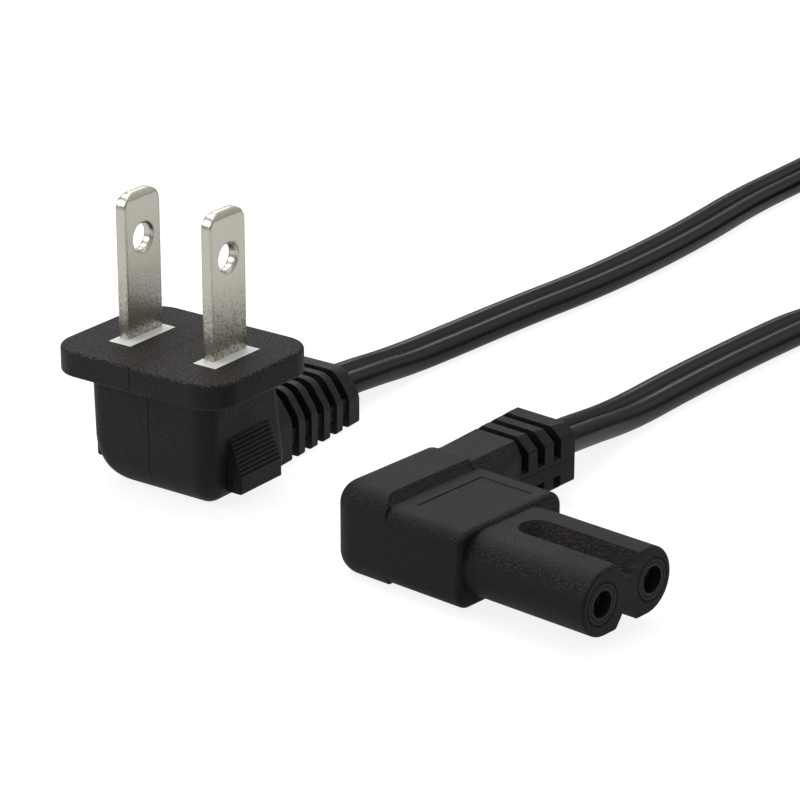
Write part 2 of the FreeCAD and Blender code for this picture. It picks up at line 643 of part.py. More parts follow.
def pin_contact(y, crimp_at):
    """A slit tube for one appliance pin, with its shank and a crimp barrel across it."""
    front = -CONTACT_RECESS
    back = front - CONTACT_TUBE_LENGTH
    tube = rod(CONTACT_TUBE_DIAMETER, V(back, y, 0), V(front, y, 0))
    shank = rod(CONTACT_SHANK_DIAMETER, V(-crimp_at, y, 0), V(back, y, 0))
    contact = tube.fuse(shank).fuse(crimp_barrel(V(-crimp_at, y, 0), V(0, 1, 0)))
    floor = back + CONTACT_TUBE_FLOOR
    bore = rod(PIN_BORE_DIAMETER, V(floor, y, 0), V(front + OVERCUT, y, 0))
    slit = block((floor, front + OVERCUT), (y - CONTACT_SLIT / 2, y + CONTACT_SLIT / 2),
                 (0, CONTACT_TUBE_DIAMETER))
    return contact.cut(bore).cut(slit)


def contact_carrier():
    """The inner moulding that holds both contacts and shows as two rings on the nose."""
    back = -CONTACT_RECESS - CONTACT_TUBE_LENGTH
    carrier = block((back - CARRIER_BLOCK_LENGTH, back), (-CARRIER_HALF_WIDTH, CARRIER_HALF_WIDTH),
                    (-CARRIER_HALF_HEIGHT, CARRIER_HALF_HEIGHT))
    carrier = carrier.makeFillet(CARRIER_ROUND, edges_along(carrier, V(1, 0, 0)))
    for y in (-CONTACT_Y, CONTACT_Y):
        carrier = carrier.fuse(rod(CARRIER_TUBE_DIAMETER, V(back, y, 0), V(0, y, 0)))
    for y in (-CONTACT_Y, CONTACT_Y):
        carrier = carrier.cut(rod(CONTACT_TUBE_DIAMETER, V(back, y, 0), V(-CONTACT_RECESS, y, 0)))
        carrier = carrier.cut(rod(FACE_HOLE_DIAMETER, V(back, y, 0), V(OVERCUT, y, 0)))
        carrier = carrier.cut(rod(CONTACT_SHANK_DIAMETER, V(back - CARRIER_BLOCK_LENGTH, y, 0),
                                  V(back, y, 0)))
    return carrier


def carrier_cap():
    """The plate that closes the carrier behind the contacts."""
    front = -CONTACT_RECESS - CONTACT_TUBE_LENGTH - CARRIER_BLOCK_LENGTH
    cap = block((front - CAP_THICKNESS, front),
                (-CARRIER_HALF_WIDTH + CAP_MARGIN, CARRIER_HALF_WIDTH - CAP_MARGIN),
                (-CARRIER_HALF_HEIGHT + CAP_MARGIN, CARRIER_HALF_HEIGHT - CAP_MARGIN))
    for y in (-CONTACT_Y, CONTACT_Y):
        cap = cap.cut(rod(CONTACT_SHANK_DIAMETER, V(front - CAP_THICKNESS, y, 0), V(front, y, 0)))
    return cap


def connector_lane(side, crimp_at, to_y):
    """The way of one conductor in the connector, from the collar to its crimp."""
    start = side * LOBE_X - RELIEF_END_CENTRE
    return side_step(start, -crimp_at, RELIEF_END, CONNECTOR_LANE_BEND, to_y, 0)


# Cord

def corner_radii(points):
    """The largest arcs that a route's runs leave room for."""
    radii = []
    for before, here, after in zip(points, points[1:], points[2:]):
        shorter = min((here - before).Length, (after - here).Length)
        turn = math.pi - (before - here).getAngle(after - here)
        radii.append(BEND_SHARE * shorter / math.tan(turn / 2))
    return radii


def cord_run(name, points):
    """A plain tube along one free stretch of the cord."""
    radii = corner_radii(points)
    tube = tube_along(points, radii, CORD_TUBE_DIAMETER)
    length = bent_length(points, radii)
    section = math.pi * CORD_TUBE_DIAMETER ** 2 / 4
    print(name, "length", round(length, 1), "radii", [round(radius, 1) for radius in radii],
          "volume ratio", round(tube.Volume / (section * length), 4))
    return tube


def plug_run_points():
    """The cord's route from the plug's collar to the coil."""
    lead_x = COIL_CENTRE_X - COIL_LEAD_RADIUS
    return [V(0, BOOT_END, CRIMP_LEVEL),
            V(0.3, 33.5, CRIMP_LEVEL - 0.3),
            V(-0.3, 43.8, CORD_LEVEL),
            V(0.6, 55.0, CORD_LEVEL),
            V(1.4, 67.4, CORD_LEVEL),
            V(3.1, 83.5, CORD_LEVEL),
            V(3.4, 98.0, CORD_LEVEL),
            V(2.9, 112.3, CORD_LEVEL),
            V(1.6, 127.0, CORD_LEVEL),
            V(1.7, 143.1, CORD_LEVEL),
            V(lead_x, 156.0, CORD_LEVEL),
            V(lead_x, COIL_CENTRE_Y - COIL_LEAD_LENGTH, CORD_LEVEL)]


def connector_exit():
    """The middle of the connector collar's end face, in the cord set's frame."""
    turn = FreeCAD.Rotation(V(0, 0, 1), CONNECTOR_YAW)
    return V(CONNECTOR_X, CONNECTOR_Y, CONNECTOR_LEVEL) + turn.multVec(V(-RELIEF_END_CENTRE, RELIEF_END, 0))


def connector_run_points():
    """The cord's route from the connector's collar to the coil, up to the winding's upper layer."""
    lead_x = COIL_CENTRE_X + COIL_LEAD_RADIUS
    return [connector_exit(),
            V(34.5, 31.0, CORD_LEVEL + 1.9),
            V(33.0, 44.0, CORD_LEVEL),
            V(33.0, 57.5, CORD_LEVEL),
            V(33.7, 73.5, CORD_LEVEL),
            V(35.0, 90.5, CORD_LEVEL),
            V(44.3, 105.3, CORD_LEVEL),
            V(61.5, 118.2, CORD_LEVEL + 0.9),
            V(71.0, 134.0, CORD_LEVEL + 3.7),
            V(lead_x, 151.5, CORD_LEVEL + 5.5),
            V(lead_x, COIL_CENTRE_Y - COIL_LEAD_LENGTH, COIL_UPPER_LEVEL)]


def coil(leads):
    """The put-away coil's outer shape, with the two short leads where the cord joins it."""
    head = FLOOR + COIL_HEIGHT
    edge = COIL_EDGE_BREAK
    profile = [(COIL_INNER_RADIUS, FLOOR + edge, 0), (COIL_INNER_RADIUS + edge, FLOOR, 0),
               (COIL_OUTER_RADIUS - edge, FLOOR, 0), (COIL_OUTER_RADIUS, FLOOR + edge, 0),
               (COIL_OUTER_RADIUS, head - edge, 0), (COIL_OUTER_RADIUS - edge, head, 0),
               (COIL_INNER_RADIUS + edge, head, 0), (COIL_INNER_RADIUS, head - edge, 0)]
    ring = Part.Face(rounded_wire(profile, across_y(0))).revolve(V(0, 0, 0), V(0, 0, 1), 360)
    ring.translate(V(COIL_CENTRE_X, COIL_CENTRE_Y, 0))
    for end in leads:
        ring = ring.fuse(rod(COIL_LEAD_DIAMETER, end, V(end.x, COIL_CENTRE_Y, end.z)))
    return ring


def coil_tie():
    """The band round the coil's turns, on the side away from the leads."""
    inner = COIL_CENTRE_Y + math.sqrt(COIL_INNER_RADIUS ** 2 - (TIE_WIDTH / 2) ** 2) - TIE_PLAY
    outer = COIL_CENTRE_Y + COIL_OUTER_RADIUS + TIE_PLAY
    foot = FLOOR + TIE_THICKNESS
    head = FLOOR + COIL_HEIGHT + TIE_PLAY
    start = across_x(COIL_CENTRE_X - TIE_WIDTH / 2)
    along = V(TIE_WIDTH, 0, 0)
    hollow = [(inner, foot), (outer, foot), (outer, head), (inner, head)]
    shell = [(inner - TIE_THICKNESS, FLOOR), (outer + TIE_THICKNESS, FLOOR),
             (outer + TIE_THICKNESS, head + TIE_THICKNESS), (inner - TIE_THICKNESS, head + TIE_THICKNESS)]
    opening = prism([(y, z, TIE_CORNER_RADIUS) for y, z in hollow], start, along)
    return prism([(y, z, TIE_CORNER_RADIUS + TIE_THICKNESS) for y, z in shell], start, along).cut(opening)


def plug_pieces():
    """The plug's pieces by name, each seat cut from what goes in it."""
    half_barrel = BARREL_LENGTH / 2
    blades = {"neutral_blade": plug_blade(-BLADE_X), "line_blade": plug_blade(BLADE_X)}
    strands = {}
    lobes = []
    for side, name, blade in ((-1, "plug_neutral_strands", "neutral_blade"),
                              (1, "plug_line_strands", "line_blade")):
        strands[name] = lane_tube(plug_lane(side, -half_barrel), STRAND_DIAMETER)
        lobes.append(lane_tube(plug_lane(side, half_barrel), LOBE_DIAMETER))
        blades[blade] = blades[blade].cut(strands[name])
    cord_end = lobes[0].fuse(lobes[1])
    for strand in strands.values():
        cord_end = cord_end.cut(strand)
    holder = blade_holder()
    for blade in blades.values():
        holder = holder.cut(blade)
    housing = flange().fuse(plug_body()).fuse(finger_grip(GRIP_NEAR_REACH))
    housing = housing.fuse(finger_grip(GRIP_FAR_REACH).mirror(V(0, 0, 0), V(1, 0, 0)))
    housing = housing.fuse(plug_boot()).removeSplitter()
    inside = {"blade_holder": holder, "plug_cord_end": cord_end, **blades, **strands}
    for piece in inside.values():
        housing = housing.cut(piece)
    return {"plug_housing": housing, **inside}


def connector_pieces():
    """The connector's pieces by name, each seat cut from what goes in it."""
    half_barrel = BARREL_LENGTH / 2
    contacts = {"line_contact": pin_contact(CONTACT_Y, FAR_CRIMP_AT),
                "neutral_contact": pin_contact(-CONTACT_Y, NEAR_CRIMP_AT)}
    strands = {}
    lobes = []
    for name, side, crimp_at, y, contact in (
            ("connector_line_strands", 1, FAR_CRIMP_AT, CONTACT_Y, "line_contact"),
            ("connector_neutral_strands", -1, NEAR_CRIMP_AT, -CONTACT_Y, "neutral_contact")):
        strands[name] = lane_tube(connector_lane(side, crimp_at, y - half_barrel), STRAND_DIAMETER)
        lobes.append(lane_tube(connector_lane(side, crimp_at, y + half_barrel), LOBE_DIAMETER))
        contacts[contact] = contacts[contact].cut(strands[name])
    cord_end = lobes[0].fuse(lobes[1])
    for strand in strands.values():
        cord_end = cord_end.cut(strand)
    housing = back_block().fuse(front_block()).fuse(nose()).fuse(connector_relief()).removeSplitter()
    inside = {"contact_carrier": contact_carrier(), "carrier_cap": carrier_cap(),
              "connector_cord_end": cord_end, **contacts, **strands}
    for piece in inside.values():
        housing = housing.cut(piece)
    back = -CONTACT_RECESS - CONTACT_TUBE_LENGTH
    for y in (-CONTACT_Y, CONTACT_Y):
        housing = housing.cut(rod(CONTACT_TUBE_DIAMETER, V(back, y, 0), V(-CONTACT_RECESS, y, 0)))
        housing = housing.cut(rod(FACE_HOLE_DIAMETER, V(-CONTACT_RECESS, y, 0), V(OVERCUT, y, 0)))
    pieces = {"connector_housing": housing, **inside}
    return {name: connector_place(piece) for name, piece in pieces.items()}


def cord_pieces():
    """The cord's runs, its put-away coil and the coil's band, by name."""
    plug_run = plug_run_points()
    connector_run = connector_run_points()
    band = coil_tie()
    return {"coil_tie": band,
            "cord_coil": coil([plug_run[-1], connector_run[-1]]).cut(band),
            "cord_plug_run": cord_run("cord_plug_run", plug_run),
            "cord_connector_run": cord_run("cord_connector_run", connector_run)}


os.makedirs("parts", exist_ok=True)
for name, piece in {**plug_pieces(), **connector_pieces(), **cord_pieces()}.items():
    if len(piece.Solids) != 1 or not piece.isValid():
        print("check", name, "solids", len(piece.Solids), "valid", piece.isValid())
    piece.exportStep("parts/" + name + ".step")
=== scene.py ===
import math

import bmesh
import bpy
from bpy.props import FloatProperty, FloatVectorProperty, PointerProperty
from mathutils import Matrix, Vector


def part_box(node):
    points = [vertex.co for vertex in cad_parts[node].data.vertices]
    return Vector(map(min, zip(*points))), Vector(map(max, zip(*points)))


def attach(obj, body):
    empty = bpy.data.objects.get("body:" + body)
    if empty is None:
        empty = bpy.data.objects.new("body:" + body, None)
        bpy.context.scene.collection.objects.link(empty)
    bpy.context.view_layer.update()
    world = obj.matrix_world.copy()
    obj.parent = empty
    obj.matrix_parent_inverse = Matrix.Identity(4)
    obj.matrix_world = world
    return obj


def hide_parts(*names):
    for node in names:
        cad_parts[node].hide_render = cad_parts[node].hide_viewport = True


bl_info = {
    "name": "Moulded Cord Set",
    "version": (1, 0, 0),
    "blender": (4, 5, 0),
    "location": "3D View > Sidebar > Cord Set",
    "description": "Dresses a moulded two-blade plug, its flat cord and its two-pole connector",
    "category": "Object",
}

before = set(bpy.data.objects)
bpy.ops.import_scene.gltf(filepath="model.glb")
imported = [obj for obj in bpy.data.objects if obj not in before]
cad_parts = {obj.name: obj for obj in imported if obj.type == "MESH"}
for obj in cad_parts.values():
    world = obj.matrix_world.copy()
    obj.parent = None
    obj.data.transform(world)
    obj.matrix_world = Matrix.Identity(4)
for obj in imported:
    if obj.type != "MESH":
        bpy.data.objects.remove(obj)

# Route of the cord, in metres: from the plug to the coil, and from the coil to the connector,
# as (x, y, z, twist in degrees), where the cord lies flat at 0 and stands on edge at 90. The x
# and y are the ones in the part's source, and the heights lay the flat section on the floor.
PLUG_ROUTE = [
    (0.0, 0.0268, -0.0140, 0),
    (0.0003, 0.0335, -0.0143, 0),
    (-0.0003, 0.0438, -0.01575, 0),
    (0.0006, 0.0550, -0.01575, 0),
    (0.0014, 0.0674, -0.01575, 0),
    (0.0031, 0.0835, -0.01575, 0),
    (0.0034, 0.0980, -0.01575, 0),
    (0.0029, 0.1123, -0.01575, 0),
    (0.0016, 0.1270, -0.01575, 0),
    (0.0017, 0.1431, -0.01575, 0),
    (0.00155, 0.1560, -0.01575, 0),
    (0.00155, 0.1690, -0.0147, 45),
]
CONNECTOR_ROUTE = [
    (0.07545, 0.1690, -0.00815, 90),
    (0.07545, 0.1515, -0.0088, 90),
    (0.0710, 0.1340, -0.0108, 80),
    (0.0615, 0.1182, -0.0136, 50),
    (0.0443, 0.1053, -0.0151, 20),
    (0.0350, 0.0905, -0.01575, 0),
    (0.0337, 0.0735, -0.01575, 0),
    (0.0330, 0.0575, -0.01575, 0),
    (0.0330, 0.0440, -0.01575, 0),
    (0.0345, 0.0310, -0.0133, 0),
    (0.03585, 0.02213, -0.0118, 0),
]

# The put-away coil: middle, heights of its two layers, line of its outer turn, and step per turn
COIL_CENTRE = (0.0385, 0.1860)
COIL_LOWER_Z = -0.01425
COIL_UPPER_Z = -0.00815
COIL_OUTER_RADIUS = 0.03695
COIL_PITCH = 0.0031

# How finely the cord is drawn: points per turn of the coil, steps round a lobe, waves of the
# fine ribs round a whole lobe, and the angle past which an edge of its mesh stays sharp
COIL_STEPS = 12
LOBE_STEPS = 24
RIB_WAVES = 14
SHARP_ANGLE = math.radians(48)

# What hangs on the cord, and where the connector lies
CONNECTOR_PLACE = (0.0665, -0.0072, -0.0118)
CONNECTOR_YAW = math.radians(-5.6)

# The connector's nose: each contact hole's place beside the middle, half the widths of the two
# rings round it, and how far behind the face the rings end
CONTACT_OFFSET = 0.0043
GAP_HALF_WIDTH = 0.00015
STEP_HALF_WIDTH = 0.00007
NOSE_FACE_BACK = -0.0006

# The plug's ribbed finger grips: painted shade in the valleys reaches this far from their middle, in ribs,
# and is painted only on faces whose normal's Y is within the lean
GRIP_TOP_Z = -0.0091
GRIP_RIBBED_HEIGHT = 0.0048
GRIP_RIB_PITCH = GRIP_RIBBED_HEIGHT / 10
GRIP_ROOT_X = 0.0091
GRIP_VALLEY_REACH = 0.16
GRIP_SIDE_LEAN = 0.3

# Where the mouldings' halves met
PLUG_PARTING_X = 0.0003
CONNECTOR_PARTING_FROM_Y = 0.006
PARTING_HALF_WIDTH = 0.00008

# A bound below every point of the cord set
EVERYWHERE = -1.0

# Leaning faces lie between an upright lean and a flat one, each the share of the normal that
# points up or down, and the mask fades in inside both. With a flat lean past 1, level faces
# count as leaning too, as they do on the plug.
UPRIGHT_LEAN = 0.32
UPRIGHT_FADE = 0.3
FLAT_LEAN = 0.84
FLAT_FADE = -0.24
PLUG_FLAT_LEAN = 1.2

# How the masks turn into a finish, a painted highlight on the mouldings' edges and painted shade in their
# grooves: pairs are a gain and a base for the mask's value
GRAIN_GAIN = (2.7, 0.5)
SPECK_SHARE = (0.8, 0.08)
PIT_SHARE = (0.35, 0.08)
MOULDING_ROUGHNESS = (0.2, 0.4)
JACKET_ROUGHNESS = (0.14, 0.2)
BRUSHED_ROUGHNESS = (0.12, 0.2)
TARNISH_SPOTS = (0.75, 0.25)
WORN_SPOTS = (0.5, 0.15)
EDGE_HIGHLIGHT = 0.85
LINE_DARKNESS = 0.6
VALLEY_SHADE = 0.8
TARNISH_SHARE = 0.8
TARNISH_ROUGHNESS = 0.2

# Heights of bumps: a mark's in grain depths, the others in metres
MARK_HEIGHT = -1.2
JACKET_GRAIN_DEPTH = 0.000006
BRUSH_DEPTH = 0.000006

# Colours under the main ones
# Near-black for the grain's pits, and for painted shade in the grips' valleys and the contact rings
PIT_AND_SHADE_COLOUR = (0.002, 0.002, 0.002)
TARNISH_COLOUR = (0.16, 0.145, 0.12)
HOLDER_COLOUR = (0.9, 0.9, 0.88)
TIE_COLOUR = (0.02, 0.02, 0.02)
COPPER_COLOUR = (0.76, 0.38, 0.23)

# The Mix node's two colours and its result, by their place among the sockets
MIX_FIRST, MIX_SECOND, MIX_RESULT = 6, 7, 2

# The studio: strength 1 is white, and each softbox has (name, place, size, share of the power)
CAMERA_PLACE = (0.24618, -0.29671, 0.14194)
FLOOR_HALF_SIZE = 4
FLOOR_SEEN = 0.86
FLOOR_REFLECTED = 0.38
WORLD_LOW = 0.13
WORLD_HIGH = 0.55
LAMP_TARGET = (0.03, 0.02, 0)
SOFTBOXES = [
    ("softbox_above", (-0.25, 0.15, 0.9), 0.8, 1.0),
    ("softbox_left", (-0.8, -0.7, 0.55), 0.5, 0.6),
    ("softbox_back", (-0.62, 0.9, 0.62), 0.45, 0.26),
    ("softbox_right", (0.5, 0.95, 0.8), 0.9, 0.2),
]


class CordSettings(bpy.types.PropertyGroup):
    """Sizes and colour of the flat cord"""

    lobe_radius: FloatProperty(
        name="Lobe radius", description="Radius of each insulated conductor",
        default=0.00155, unit="LENGTH")
    lobe_spacing: FloatProperty(
        name="Lobe spacing", description="Distance between the two conductors",
        default=0.003, unit="LENGTH")
    rib_height: FloatProperty(
        name="Rib height", description="Height of the fine ribs that mark one conductor",
        default=0.0001, unit="LENGTH")
    lobe_reach: FloatProperty(
        name="Lobe reach", description="How far each lobe goes round, to both sides, before the web",
        default=math.radians(158), subtype="ANGLE")
    coil_turns: FloatProperty(
        name="Coil turns", description="Turns in which the rest of the cord is put away",
        default=7.5)
    colour: FloatVectorProperty(
        name="Jacket colour", description="Colour of the cord's jacket",
        default=(0.0035, 0.0035, 0.0034), subtype="COLOR", min=0, max=1)


class MouldingSettings(bpy.types.PropertyGroup):
    """Colour and grain of the black mouldings"""

    colour: FloatVectorProperty(
        name="Moulding colour", description="Colour of the plug's and the connector's moulding",
        default=(0.0152, 0.0127, 0.0118), subtype="COLOR", min=0, max=1)
    plug_grain_size: FloatProperty(
        name="Plug grain size", description="Size of the grain moulded into the plug",
        default=0.0003, unit="LENGTH")
    connector_grain_size: FloatProperty(
        name="Connector grain size", description="Size of the finer grain moulded into the connector",
        default=0.0002, unit="LENGTH")
    grain_depth: FloatProperty(
        name="Grain depth", description="Depth of the moulded grain",
        default=0.00012, unit="LENGTH")


class MetalSettings(bpy.types.PropertyGroup):
    """Colours of the plated and bare metal"""

    plate_colour: FloatVectorProperty(
        name="Plate colour", description="Colour of the plated blades",
        default=(0.79, 0.755, 0.655), subtype="COLOR", min=0, max=1)
    # The brass is darkened well below bright brass, as painted shade of the deep holes the contacts sit in.
    shaded_brass_colour: FloatVectorProperty(
        name="Brass colour", description="Colour of the appliance contacts",
        default=(0.2, 0.145, 0.07), subtype="COLOR", min=0, max=1)
    tarnish_height: FloatProperty(
        name="Tarnish height", description="How far above the plug's face the blades are speckled",
        default=0.0105, unit="LENGTH")


class StageSettings(bpy.types.PropertyGroup):
    """The camera's angle, the floor and the light"""

    azimuth: FloatProperty(
        name="Camera azimuth", description="Angle of the camera round the cord set",
        default=math.radians(35.9), subtype="ANGLE")
    elevation: FloatProperty(
        name="Camera elevation", description="Angle of the camera above the horizon",
        default=math.radians(21.2), subtype="ANGLE")
    lens: FloatProperty(
        name="Lens", description="Focal length of the camera",
        default=157.5, unit="CAMERA")
    floor_colour: FloatVectorProperty(
        name="Floor colour", description="Colour of the floor",
        default=(0.3, 0.3, 0.3), subtype="COLOR", min=0, max=1)
    softbox_power: FloatProperty(
        name="Softbox power", description="Power of the softbox above the cord set",
        default=5.0, unit="POWER")


class CordSetSettings(bpy.types.PropertyGroup):
    """All the settings of the cord set"""

    cord: PointerProperty(type=CordSettings)
    moulding: PointerProperty(type=MouldingSettings)
    metal: PointerProperty(type=MetalSettings)
    stage: PointerProperty(type=StageSettings)


def add_node(tree, kind, place, **settings):
    """A shader node at a place in its tree."""
    made = tree.nodes.new(kind)
    made.location = place
    for key, value in settings.items():
        setattr(made, key, value)
    return made


def new_group(name, inputs, outputs):
    """An empty shader node group with its sockets, as (group, input node, output node)."""
    group = bpy.data.node_groups.new(name, "ShaderNodeTree")
    for socket, kind, default in inputs:
        made = group.interface.new_socket(name=socket, in_out="INPUT", socket_type=kind)
        made.default_value = default
    for socket, kind in outputs:
        group.interface.new_socket(name=socket, in_out="OUTPUT", socket_type=kind)
    return group, add_node(group, "NodeGroupInput", (-900, 0)), add_node(group, "NodeGroupOutput", (900, 0))


def once(name, build):
    """The node group of that name, built the first time it is asked for."""
    return bpy.data.node_groups.get(name) or build(name)


def set_input(tree, socket, value):
    """Links another socket into an input, or writes a plain value there."""
    if isinstance(value, bpy.types.NodeSocket):
        tree.links.new(value, socket)
    elif value is not None:
        socket.default_value = value


def math_node(tree, operation, place, first, second=None, third=None):
    """A Math node whose inputs are sockets or numbers, as its output socket."""
    made = add_node(tree, "ShaderNodeMath", place, operation=operation)
    for socket, value in zip(made.inputs, (first, second, third)):
        set_input(tree, socket, value)
    return made.outputs[0]


def mask_node(tree, place, value, start, end, kind="SMOOTHSTEP"):
    """A mask that is 0 where the value is at its start and 1 where it is at its end."""
    made = add_node(tree, "ShaderNodeMapRange", place, interpolation_type=kind)
    for name, given in (("Value", value), ("From Min", start), ("From Max", end)):
        set_input(tree, made.inputs[name], given)
    return made.outputs["Result"]


def object_point(tree, place):
    """The point's place on its own object, as a socket."""
    return add_node(tree, "ShaderNodeTexCoord", place).outputs["Object"]


def axes(tree, place, vector):
    """The X, Y and Z sockets of a vector."""
    made = add_node(tree, "ShaderNodeSeparateXYZ", place)
    tree.links.new(vector, made.inputs[0])
    return made.outputs


def grain_group(name):
    """Fine spark-eroded grain of a mould: a height, with masks of its bright specks and dark pits."""
    group, inlet, outlet = new_group(
        name, [("Grain Size", "NodeSocketFloat", 0.0002), ("Coarseness", "NodeSocketFloat", 0.0)],
        [("Height", "NodeSocketFloat"), ("Specks", "NodeSocketFloat"), ("Pits", "NodeSocketFloat")])
    links = group.links
    point = object_point(group, (-900, 300))
    scale = math_node(group, "DIVIDE", (-700, 0), 1.0, inlet.outputs["Grain Size"])
    fine = add_node(group, "ShaderNodeTexNoise", (-450, 250), noise_dimensions="3D")
    fine.inputs["Detail"].default_value = 3.0
    fine.inputs["Roughness"].default_value = 0.65
    pits = add_node(group, "ShaderNodeTexVoronoi", (-450, -50), feature="SMOOTH_F1")
    pits.inputs["Smoothness"].default_value = 0.6
    for texture in (fine, pits):
        links.new(point, texture.inputs["Vector"])
        links.new(scale, texture.inputs["Scale"])
    spread = math_node(group, "SUBTRACT", (-200, 250), fine.outputs["Fac"], 0.5)
    gain = math_node(group, "MULTIPLY_ADD", (-200, 50), inlet.outputs["Coarseness"], *GRAIN_GAIN)
    fine_height = math_node(group, "MULTIPLY", (0, 200), spread, gain)
    pit_height = math_node(group, "MULTIPLY", (0, 0), pits.outputs["Distance"], 0.5)
    links.new(math_node(group, "ADD", (250, 120), fine_height, pit_height), outlet.inputs["Height"])
    for socket, start, end, place in (("Specks", 0.5, 0.6, (250, -120)), ("Pits", 0.48, 0.38, (250, -400))):
        links.new(mask_node(group, place, fine.outputs["Fac"], start, end), outlet.inputs[socket])
    return group


def edge_group(name):
    """A mask of the outer edges and a normal that rounds them a little."""
    group, inlet, outlet = new_group(
        name, [("Radius", "NodeSocketFloat", 0.00025)],
        [("Edge", "NodeSocketFloat"), ("Normal", "NodeSocketVector")])
    links = group.links
    rounding = add_node(group, "ShaderNodeBevel", (-400, 100), samples=6)
    links.new(inlet.outputs["Radius"], rounding.inputs["Radius"])
    surface = add_node(group, "ShaderNodeNewGeometry", (-400, -150))
    facing = add_node(group, "ShaderNodeVectorMath", (-150, 0), operation="DOT_PRODUCT")
    links.new(rounding.outputs["Normal"], facing.inputs[0])
    links.new(surface.outputs["True Normal"], facing.inputs[1])
    edge = mask_node(group, (100, 0), facing.outputs["Value"], 0.995, 0.86, kind="LINEAR")
    links.new(edge, outlet.inputs["Edge"])
    links.new(rounding.outputs["Normal"], outlet.inputs["Normal"])
    return group


def slope_group(name):
    """A mask of the leaning faces, which the mould left coarser than its flat and upright ones."""
    group, inlet, outlet = new_group(
        name, [("Upright", "NodeSocketFloat", UPRIGHT_LEAN), ("Flat", "NodeSocketFloat", FLAT_LEAN)],
        [("Slope", "NodeSocketFloat")])
    surface = add_node(group, "ShaderNodeNewGeometry", (-700, 0))
    normal = axes(group, (-500, 0), surface.outputs["Normal"])
    lean = math_node(group, "ABSOLUTE", (-300, 0), normal["Z"])
    masks = []
    for socket, fade, level in (("Upright", UPRIGHT_FADE, 150), ("Flat", FLAT_FADE, -150)):
        limit = inlet.outputs[socket]
        masks.append(mask_node(group, (0, level), lean, limit,
                               math_node(group, "ADD", (-150, level), limit, fade)))
    group.links.new(math_node(group, "MULTIPLY", (300, 0), *masks), outlet.inputs["Slope"])
    return group


def contact_ring_group(name):
    """The gap round the inner moulding, and the step in it, round both holes of the connector's nose, as a
    mask that is painted dark as painted shade.
    """
    group, inlet, outlet = new_group(
        name, [("Gap Radius", "NodeSocketFloat", 0.00245), ("Step Radius", "NodeSocketFloat", 0.00197)],
        [("Rings", "NodeSocketFloat")])
    local = add_node(group, "ShaderNodeMapping", (-700, 300), vector_type="TEXTURE")
    local.inputs["Location"].default_value = CONNECTOR_PLACE
    local.inputs["Rotation"].default_value = (0, 0, CONNECTOR_YAW)
    group.links.new(object_point(group, (-900, 300)), local.inputs["Vector"])
    point = axes(group, (-500, 300), local.outputs["Vector"])
    aside = math_node(group, "ABSOLUTE", (-300, 300), point["Y"])
    side = math_node(group, "SUBTRACT", (-150, 300), aside, CONTACT_OFFSET)
    squares = math_node(group, "ADD", (150, 200), math_node(group, "MULTIPLY", (0, 300), side, side),
                        math_node(group, "MULTIPLY", (0, 100), point["Z"], point["Z"]))
    radius = math_node(group, "SQRT", (300, 200), squares)
    gap = math_node(group, "COMPARE", (450, 250), radius, inlet.outputs["Gap Radius"], GAP_HALF_WIDTH)
    step = math_node(group, "COMPARE", (450, 50), radius, inlet.outputs["Step Radius"], STEP_HALF_WIDTH)
    on_face = math_node(group, "GREATER_THAN", (450, -150), point["X"], NOSE_FACE_BACK)
    both = math_node(group, "MAXIMUM", (600, 150), gap, step)
    group.links.new(math_node(group, "MULTIPLY", (750, 0), both, on_face), outlet.inputs["Rings"])
    return group


def patch_group(name):
    """Slow changes over a surface, such as handling and mould release leave."""
    group, inlet, outlet = new_group(
        name, [("Size", "NodeSocketFloat", 0.004)], [("Patches", "NodeSocketFloat")])
    scale = math_node(group, "DIVIDE", (-700, 0), 1.0, inlet.outputs["Size"])
    cloud = add_node(group, "ShaderNodeTexNoise", (-400, 100), noise_dimensions="3D")
    cloud.inputs["Detail"].default_value = 4.0
    group.links.new(object_point(group, (-900, 300)), cloud.inputs["Vector"])
    group.links.new(scale, cloud.inputs["Scale"])
    group.links.new(cloud.outputs["Fac"], outlet.inputs["Patches"])
    return group


def new_material(name):
    """A material with its Principled shader, as (material, tree, shader)."""
    material = bpy.data.materials.new(name)
    material.use_nodes = True
    tree = material.node_tree
    return material, tree, tree.nodes["Principled BSDF"]


def place_group(tree, name, build, place, **values):
    """A node group in a material, with its own values."""
    made = add_node(tree, "ShaderNodeGroup", place, node_tree=once(name, build))
    for key, value in values.items():
        made.inputs[key.replace("_", " ").title()].default_value = value
    return made


def shaded(colour, share):
    """A colour made darker or paler by a share."""
    return tuple(channel * share for channel in colour)


def mix_colour(tree, place, factor, first, second):
    """A colour between two, as its output socket."""
    made = add_node(tree, "ShaderNodeMix", place, data_type="RGBA")
    tree.links.new(factor, made.inputs["Factor"])
    for index, value in ((MIX_FIRST, first), (MIX_SECOND, second)):
        is_socket = isinstance(value, bpy.types.NodeSocket)
        set_input(tree, made.inputs[index], value if is_socket else (*value, 1))
    return made.outputs[MIX_RESULT]


def mottled(tree, place, factor, colour, share):
    """A colour that goes down to a share of itself where the factor is low."""
    return mix_colour(tree, place, factor, shaded(colour, share), tuple(colour))


def set_roughness(tree, shader, factor, gain, base):
    """Roughness that grows from its base with a factor."""
    rough = math_node(tree, "MULTIPLY_ADD", (-300, 0), factor, gain, base)
    tree.links.new(rough, shader.inputs["Roughness"])


def add_bump(tree, shader, height, depth, place, normal=None):
    """A Bump node on a shader's normal."""
    bump = add_node(tree, "ShaderNodeBump", place)
    bump.inputs["Strength"].default_value = 1.0
    bump.inputs["Distance"].default_value = depth
    tree.links.new(height, bump.inputs["Height"])
    if normal is not None:
        tree.links.new(normal, bump.inputs["Normal"])
    tree.links.new(bump.outputs["Normal"], shader.inputs["Normal"])


